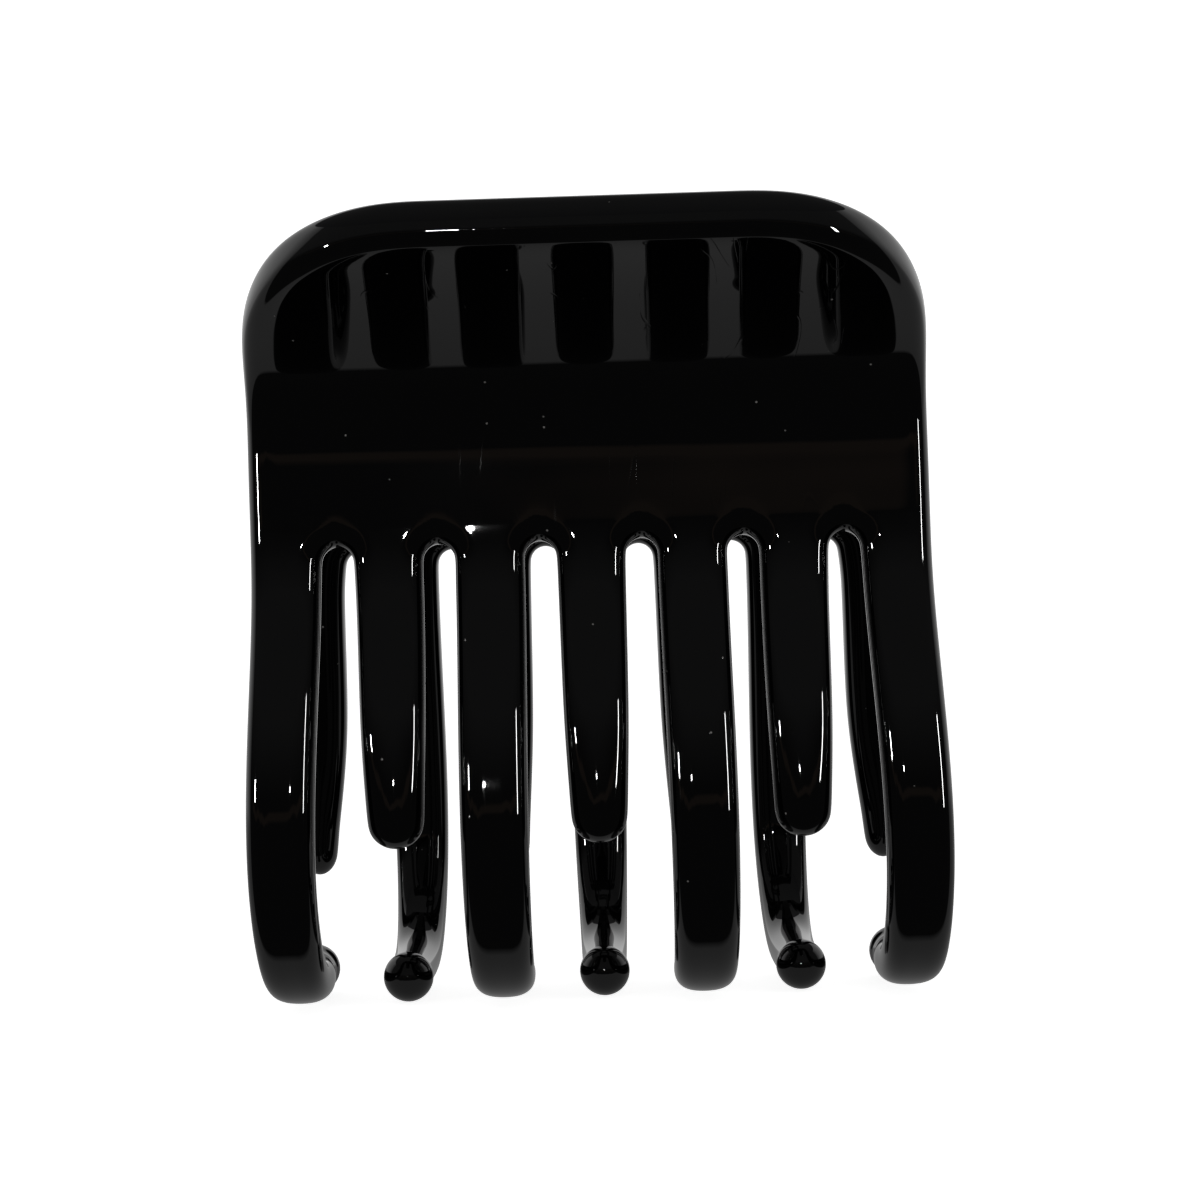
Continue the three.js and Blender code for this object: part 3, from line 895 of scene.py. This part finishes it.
def handling_group():
    """What handling leaves on every finish: hairline scratches, smudges and specks of dust."""
    name = "Handling marks"
    if name in bpy.data.node_groups:
        return bpy.data.node_groups[name]
    tree = bpy.data.node_groups.new(name, "ShaderNodeTree")
    group_socket(tree, "Vector", "INPUT", "NodeSocketVector")
    group_socket(tree, "Scratch size", "INPUT", default=250)
    group_socket(tree, "Speck size", "INPUT", default=900)
    group_socket(tree, "Speck amount", "INPUT", default=0.5)
    for output in ("Scratches", "Smudges", "Dust"):
        group_socket(tree, output, "OUTPUT")
    entry = tree.nodes.new("NodeGroupInput").outputs
    # Scratches run two ways, each a thin line where a stretched noise crosses its middle value.
    lines = []
    for turn in (0.5, -1.1):
        along = node(
            tree, "ShaderNodeMapping", {"Vector": entry["Vector"], "Rotation": (0.2, turn, turn)}
        )
        along.inputs["Scale"].default_value = (1, 0.35, 0.09)
        noise = node(
            tree,
            "ShaderNodeTexNoise",
            {"Vector": along.outputs[0], "Scale": entry["Scratch size"], "Detail": 1.0},
        )
        off = math_node(tree, "ABSOLUTE", math_node(tree, "SUBTRACT", noise.outputs["Fac"], 0.5))
        lines.append(math_node(tree, "SUBTRACT", 1.0, ramp(tree, off, 0.001, 0.006)))
    patches = node(
        tree, "ShaderNodeTexNoise", {"Vector": entry["Vector"], "Scale": 140.0, "Detail": 2.0}
    )
    where = ramp(tree, patches.outputs["Fac"], 0.5, 0.68)
    scratches = math_node(tree, "MULTIPLY", math_node(tree, "MAXIMUM", *lines), where)
    smears = node(
        tree,
        "ShaderNodeTexNoise",
        {"Vector": entry["Vector"], "Scale": 75.0, "Detail": 4.0, "Distortion": 0.8},
    )
    smudges = ramp(tree, smears.outputs["Fac"], 0.46, 0.72)
    cells = node(
        tree,
        "ShaderNodeTexVoronoi",
        {"Vector": entry["Vector"], "Scale": entry["Speck size"], "Randomness": 1.0},
    )
    near = math_node(tree, "SUBTRACT", 1.0, ramp(tree, cells.outputs["Distance"], 0.03, 0.1))
    chance = node(tree, "ShaderNodeSeparateColor", {"Color": cells.outputs["Color"]}).outputs[0]
    share = math_node(tree, "MULTIPLY", entry["Speck amount"], 0.1)
    limit = math_node(tree, "SUBTRACT", 1.0, share)
    dust = math_node(tree, "MULTIPLY", near, math_node(tree, "GREATER_THAN", chance, limit))
    leave = tree.nodes.new("NodeGroupOutput")
    for output, value in (("Scratches", scratches), ("Smudges", smudges), ("Dust", dust)):
        tree.links.new(value, leave.inputs[output])
    return tree


def finish_name(slot):
    """The name of the material that is made for a slot of the record."""
    return f"{slot}_finish"


def finish(slot):
    """A new material, its node tree, its Principled shader and the piece's own coordinates."""
    material = bpy.data.materials.new(finish_name(slot))
    material.use_nodes = True
    tree = material.node_tree
    shader = tree.nodes["Principled BSDF"]
    return material, tree, shader, tree.nodes.new("ShaderNodeTexCoord").outputs


def handling(tree, vector, scratch_size, speck_size, speck_amount):
    """The handling marks on one finish."""
    made = tree.nodes.new("ShaderNodeGroup")
    made.node_tree = handling_group()
    tree.links.new(vector, made.inputs["Vector"])
    for name, value in (
        ("Scratch size", scratch_size),
        ("Speck size", speck_size),
        ("Speck amount", speck_amount),
    ):
        made.inputs[name].default_value = value
    return made.outputs


def weighted(tree, base, *terms):
    """base plus each (value, weight)."""
    total = base
    for value, weight in terms:
        total = math_node(tree, "MULTIPLY_ADD", value, weight, total)
    return total


def tinted(tree, amount, low, high):
    """A colour from low to high by amount."""
    made = node(tree, "ShaderNodeMix", data_type="RGBA")
    made.inputs["Factor"].default_value = 0
    tree.links.new(amount, made.inputs["Factor"])
    made.inputs["A"].default_value = (*low, 1)
    made.inputs["B"].default_value = (*high, 1)
    return next(o for o in made.outputs if o.type == "RGBA")


def jaw_plastic():
    """Black injection-moulded plastic: a high gloss over a faint swell, duller where it rubs."""
    settings = bpy.context.scene.clip_finish
    material, tree, shader, place = finish("jaw_plastic")
    marks = handling(tree, place["Object"], 230.0, 800.0, 0.5)
    height = node(tree, "ShaderNodeSeparateXYZ", {0: place["Object"]}).outputs["Z"]
    rubbed = math_node(tree, "SUBTRACT", 1.0, ramp(tree, height, 0.5 * MM, 9 * MM))
    roughness = weighted(
        tree,
        settings.plastic_roughness,
        (marks["Smudges"], 0.01),
        (marks["Scratches"], 0.05),
        (marks["Dust"], 0.5),
        (rubbed, 0.015),
    )
    tree.links.new(roughness, shader.inputs["Roughness"])
    tree.links.new(
        tinted(tree, marks["Dust"], settings.plastic, settings.dust), shader.inputs["Base Color"]
    )
    # The swell of cooled plastic, a few hundredths of a millimetre over several millimetres.
    swell = node(
        tree, "ShaderNodeTexNoise", {"Vector": place["Object"], "Scale": 95.0, "Detail": 1.0}
    )
    soft = node(
        tree,
        "ShaderNodeBump",
        {"Height": swell.outputs["Fac"], "Strength": 1.0, "Distance": 0.012 * MM},
    )
    fine = weighted(tree, 0.0, (marks["Dust"], 1.0), (marks["Scratches"], -0.15))
    bump = node(
        tree,
        "ShaderNodeBump",
        {"Height": fine, "Strength": 0.5, "Distance": 0.015 * MM, "Normal": soft.outputs[0]},
    )
    tree.links.new(bump.outputs[0], shader.inputs["Normal"])
    shader.inputs["IOR"].default_value = 1.5
    return material


def pin_steel():
    """Nickel-plated steel, with the rings that turning leaves."""
    settings = bpy.context.scene.clip_finish
    material, tree, shader, place = finish("pin_steel")
    marks = handling(tree, place["Object"], 500.0, 1200.0, 0.7)
    rings = node(
        tree,
        "ShaderNodeTexWave",
        {"Vector": place["Object"], "Scale": 900.0, "Distortion": 1.5, "Detail": 2.0},
        bands_direction="X",
    )
    roughness = weighted(
        tree,
        0.2,
        (rings.outputs["Fac"], 0.06),
        (marks["Smudges"], 0.12),
        (marks["Scratches"], 0.15),
        (marks["Dust"], 0.4),
    )
    tree.links.new(roughness, shader.inputs["Roughness"])
    tree.links.new(
        tinted(tree, marks["Dust"], settings.pin_steel, settings.dust), shader.inputs["Base Color"]
    )
    bump = node(
        tree,
        "ShaderNodeBump",
        {"Height": rings.outputs["Fac"], "Strength": 0.25, "Distance": 0.01 * MM},
    )
    tree.links.new(bump.outputs[0], shader.inputs["Normal"])
    shader.inputs["Metallic"].default_value = 1.0
    return material


def spring_steel():
    """Drawn spring wire, with fine lines along it from the die."""
    settings = bpy.context.scene.clip_finish
    material, tree, shader, place = finish("spring_steel")
    marks = handling(tree, place["Object"], 600.0, 1300.0, 0.7)
    drawn = node(tree, "ShaderNodeMapping", {"Vector": place["UV"], "Scale": (40, 1.2, 1)})
    lines = node(
        tree, "ShaderNodeTexNoise", {"Vector": drawn.outputs[0], "Scale": 1.0, "Detail": 4.0}
    )
    roughness = weighted(
        tree,
        0.2,
        (lines.outputs["Fac"], 0.16),
        (marks["Smudges"], 0.1),
        (marks["Dust"], 0.4),
    )
    tree.links.new(roughness, shader.inputs["Roughness"])
    dark = tuple(0.62 * value for value in settings.spring_steel)
    streaks = ramp(tree, lines.outputs["Fac"], 0.35, 0.6)
    tree.links.new(tinted(tree, streaks, dark, settings.spring_steel), shader.inputs["Base Color"])
    bump = node(
        tree,
        "ShaderNodeBump",
        {"Height": lines.outputs["Fac"], "Strength": 0.4, "Distance": 0.01 * MM},
    )
    tree.links.new(bump.outputs[0], shader.inputs["Normal"])
    shader.inputs["Metallic"].default_value = 1.0
    return material


def give(piece, make):
    """Gives a piece the finish that make makes, once for all pieces, under the record's slot."""
    material = bpy.data.materials.get(finish_name(make.__name__)) or make()
    piece.data.materials.clear()
    piece.data.materials.append(material)


# ---- Studio ------------------------------------------------------------------------------------

# The stations below shape the card's painted glow, which only reflections see: a painted pool of
# light under and behind the clip, grey up the wall, a painted brown band in front.
CARD_GLOW = 0.9
CLIP_FACE = -0.0178, -0.0164  # Y between which the card under the clip turns bright
FAR_END = 0.02, 0.5  # Y between which it turns brighter still
UPPER_WALL = 0.15, 0.5  # Z between which the wall turns grey
FRONT_WALL = -0.5  # Y in front of which the brown band lies
BAND_RISE = 0.16  # how far the band's middle wanders up the wall
BAND_EDGE = 0.012, 0.03  # how far from its middle the band fades
BAND_GLOW = 0.07
CARD_RADIUS = 1.6
CARD_SWEEP = 0.5
CARD_HEIGHT = 1.6
CARD_STEPS = 96  # around the card
SWEEP_STEPS = 12


def studio_surface():
    """Pale card all round, evenly bright to the camera. In the clip's gloss it glows with painted
    light:
    a painted pool of light, bright only from the clip's face backwards. In front it is dim, with a
    painted brown band low on the wall, a painted reflection like furnishings in a dark room."""
    material = bpy.data.materials.new("pale_card_painted_glow")
    material.use_nodes = True
    tree = material.node_tree
    tree.nodes.clear()
    around = tree.nodes.new("ShaderNodeTexCoord").outputs["Object"]
    place = node(tree, "ShaderNodeSeparateXYZ", {0: around}).outputs
    seen = node(tree, "ShaderNodeLightPath").outputs["Is Camera Ray"]
    card = node(tree, "ShaderNodeBsdfDiffuse", {"Color": (0.8, 0.8, 0.8, 1)})
    glow = node(tree, "ShaderNodeEmission", {"Color": (1, 1, 1, 1), "Strength": CARD_GLOW})
    lit = node(tree, "ShaderNodeAddShader", {0: card.outputs[0], 1: glow.outputs[0]})
    # Painted light: the glow that the clip's gloss sees is a painted pool of light from the clip's
    # face backwards, brighter far behind, and grey higher up the wall.
    under = ramp(tree, place["Y"], *CLIP_FACE)
    behind = ramp(tree, place["Y"], *FAR_END)
    upper = ramp(tree, place["Z"], *UPPER_WALL)
    strength = weighted(tree, 0.032, (under, 0.24), (behind, 0.45), (upper, 0.06))
    grey = node(tree, "ShaderNodeEmission", {"Color": (1, 1, 1, 1), "Strength": strength})
    # Painted reflection: a brown band glowing on the front wall, seen only in the clip's gloss,
    # stands in for furnishings in a dark room.
    uneven = node(tree, "ShaderNodeTexNoise", {"Vector": around, "Scale": 1.6, "Detail": 3.0})
    height = weighted(tree, place["Z"], (uneven.outputs["Fac"], -BAND_RISE))
    off_band = math_node(tree, "ABSOLUTE", height)
    band = math_node(tree, "SUBTRACT", 1.0, ramp(tree, off_band, *BAND_EDGE))
    ahead = math_node(tree, "LESS_THAN", place["Y"], FRONT_WALL)
    painted_band_mask = math_node(tree, "MULTIPLY", band, ahead)
    dim = math_node(tree, "MULTIPLY", painted_band_mask, BAND_GLOW)
    brown = node(tree, "ShaderNodeEmission", {"Color": (1, 0.7, 0.5, 1), "Strength": dim})
    in_gloss = node(tree, "ShaderNodeAddShader", {0: grey.outputs[0], 1: brown.outputs[0]})
    shaders = {0: seen, 1: in_gloss.outputs[0], 2: lit.outputs[0]}
    both = node(tree, "ShaderNodeMixShader", shaders)
    output = node(tree, "ShaderNodeOutputMaterial")
    tree.links.new(both.outputs[0], output.inputs["Surface"])
    return material


def studio_card():
    """A floor that sweeps up all round into a wall."""
    shell = Shell()
    flat = CARD_RADIUS - CARD_SWEEP
    profile = [(radius, 0) for radius in (0.05, 0.2, 0.5, flat)]
    for k in range(1, SWEEP_STEPS + 1):
        turn = QUARTER * k / SWEEP_STEPS
        profile.append((flat + CARD_SWEEP * math.sin(turn), CARD_SWEEP * (1 - math.cos(turn))))
    profile.append((CARD_RADIUS, CARD_HEIGHT))
    ring = [2 * math.pi * k / CARD_STEPS for k in range(CARD_STEPS)]
    loops = [[(r * math.cos(a), r * math.sin(a), z) for a in ring] for r, z in profile]
    shell.stack(loops)
    shell.face(*loops[0])
    card = shell.build("studio_card")
    card.data.materials.append(studio_surface())
    return card


def light(name, place, target, size, power, in_gloss=True):
    """A rectangular light at a place, facing a target. size is its width and height."""
    lamp = bpy.data.lights.new(name, "AREA")
    lamp.shape = "RECTANGLE"
    lamp.size, lamp.size_y = size
    lamp.energy = power
    made = bpy.data.objects.new(name, lamp)
    made.location = place
    made.rotation_euler = (Vector(target) - Vector(place)).to_track_quat("-Z", "Y").to_euler()
    made.visible_glossy = in_gloss
    bpy.context.scene.collection.objects.link(made)
    return made


def room():
    """The dim room over the card: nearly black low down, grey overhead."""
    world = bpy.data.worlds.new("room")
    bpy.context.scene.world = world
    world.use_nodes = True
    tree = world.node_tree
    background = tree.nodes["Background"]
    way = node(tree, "ShaderNodeTexCoord").outputs["Generated"]
    up = node(tree, "ShaderNodeSeparateXYZ", {0: way}).outputs["Z"]
    colours = node(tree, "ShaderNodeValToRGB", {"Fac": up})
    stops = [(0.0, (0.03, 0.03, 0.035)), (0.45, (0.05, 0.05, 0.055)), (0.9, (0.1, 0.1, 0.1))]
    colours.color_ramp.elements.remove(colours.color_ramp.elements[0])
    for k, (at, value) in enumerate(stops):
        stop = colours.color_ramp.elements[0] if k == 0 else colours.color_ramp.elements.new(at)
        stop.position = at
        stop.color = (*value, 1)
    tree.links.new(colours.outputs["Color"], background.inputs["Color"])
    background.inputs["Strength"].default_value = 1.0


def camera(studio):
    lens = bpy.data.cameras.new("camera")
    lens.lens = studio.focal
    lens.sensor_width = 36
    lens.clip_start, lens.clip_end = 0.01, 10
    made = bpy.data.objects.new("camera", lens)
    made.location = (studio.camera_side, -studio.distance, studio.camera_height)
    made.rotation_euler = (QUARTER, studio.roll, 0)
    bpy.context.scene.collection.objects.link(made)
    bpy.context.scene.camera = made


# ---- Operators ---------------------------------------------------------------------------------


class CLIP_OT_front_jaw(bpy.types.Operator):
    """Make the front jaw: four long teeth with ball tips and three short ones"""

    bl_idname = "clip.front_jaw"
    bl_label = "Front Jaw"

    def execute(self, context):
        lug = context.scene.clip_hinge.front_lug
        teeth = [FRONT_SHORT if i % 2 else FRONT_LONG for i in range(TOOTH_COUNT)]
        made = moulding("front_jaw_moulding", teeth, FRONT_SPREAD, (-lug, lug))
        give(made, jaw_plastic)
        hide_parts("front_jaw")
        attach(made, "front")
        return {"FINISHED"}


class CLIP_OT_back_jaw(bpy.types.Operator):
    """Make the back jaw: its teeth fall between those of the front jaw"""

    bl_idname = "clip.back_jaw"
    bl_label = "Back Jaw"

    def execute(self, context):
        lug = context.scene.clip_hinge.back_lug
        teeth = [BACK_LONG if i % 2 else BACK_SHORT for i in range(TOOTH_COUNT)]
        made = moulding("back_jaw_moulding", teeth, BACK_SPREAD, (-lug, lug))
        made.data.transform(HALF_TURN)
        give(made, jaw_plastic)
        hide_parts("back_jaw")
        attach(made, "back")
        return {"FINISHED"}


class CLIP_OT_hinge_pin(bpy.types.Operator):
    """Make the steel pin with a domed head at each end"""

    bl_idname = "clip.hinge_pin"
    bl_label = "Hinge Pin"

    def execute(self, context):
        hinge = context.scene.clip_hinge
        half = pin_profile(hinge)
        profile = [(radius, -along) for radius, along in reversed(half[1:])] + half
        made = turned("hinge_pin_rivet", profile, hinge.height, 48)
        made.data.set_sharp_from_angle(angle=STEEL_SHARP)
        give(made, pin_steel)
        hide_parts("hinge_pin")
        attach(made, "back")
        return {"FINISHED"}


class CLIP_OT_torsion_spring(bpy.types.Operator):
    """Make the torsion spring, whose legs bear on the backs of the two wings"""

    bl_idname = "clip.torsion_spring"
    bl_label = "Torsion Spring"

    def execute(self, context):
        jaw, hinge = context.scene.clip_jaw, context.scene.clip_hinge
        made = wire_along("torsion_spring_wire", spring_path(jaw, hinge), hinge.wire)
        give(made, spring_steel)
        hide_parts("torsion_spring")
        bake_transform(made)
        return {"FINISHED"}


class CLIP_OT_studio(bpy.types.Operator):
    """Make the pale card, the dim room, the lights and the camera"""

    bl_idname = "clip.studio"
    bl_label = "Studio"

    def execute(self, context):
        studio = context.scene.clip_studio
        studio_card()
        room()
        middle = (0, 0, 0.04)
        light("key", (0.1, -0.1, 0.8), middle, (0.7, 0.7), studio.key_power, in_gloss=False)
        glint = studio.glint_power
        light("window_right", (0.4, -0.3, 0.075), middle, (0.02, 0.12), glint)
        light("window_left", (-0.4, -0.3, 0.07), middle, (0.02, 0.03), glint)
        light("window_ahead", (-0.04, -0.6, 0.09), middle, (0.01, 0.01), glint / 4)
        camera(studio)
        context.scene.view_settings.view_transform = "Standard"
        return {"FINISHED"}


class CLIP_PT_sidebar(bpy.types.Panel):
    """Everything that makes the clip"""

    bl_idname = "CLIP_PT_sidebar"
    bl_label = "Claw Clip"
    bl_space_type = "VIEW_3D"
    bl_region_type = "UI"
    bl_category = "Claw Clip"

    def draw(self, context):
        for operator in OPERATORS:
            self.layout.operator(operator.bl_idname)
        for group in SETTINGS:
            box = self.layout.box()
            settings = getattr(context.scene, group)
            for name in settings.bl_rna.properties.keys():
                if name not in ("rna_type", "name"):
                    box.prop(settings, name)


OPERATORS = (
    CLIP_OT_front_jaw,
    CLIP_OT_back_jaw,
    CLIP_OT_hinge_pin,
    CLIP_OT_torsion_spring,
    CLIP_OT_studio,
)
SETTINGS = {
    "clip_jaw": JawSettings,
    "clip_hinge": HingeSettings,
    "clip_finish": FinishSettings,
    "clip_studio": StudioSettings,
}


def register():
    for group, settings in SETTINGS.items():
        bpy.utils.register_class(settings)
        setattr(bpy.types.Scene, group, PointerProperty(type=settings))
    for cls in (*OPERATORS, CLIP_PT_sidebar):
        bpy.utils.register_class(cls)


def unregister():
    for cls in (CLIP_PT_sidebar, *reversed(OPERATORS)):
        bpy.utils.unregister_class(cls)
    for group, settings in reversed(SETTINGS.items()):
        delattr(bpy.types.Scene, group)
        bpy.utils.unregister_class(settings)


def main():
    register()
    bpy.ops.clip.front_jaw()
    bpy.ops.clip.back_jaw()
    bpy.ops.clip.hinge_pin()
    bpy.ops.clip.torsion_spring()
    bpy.ops.clip.studio()


if __name__ == "__main__":
    main()
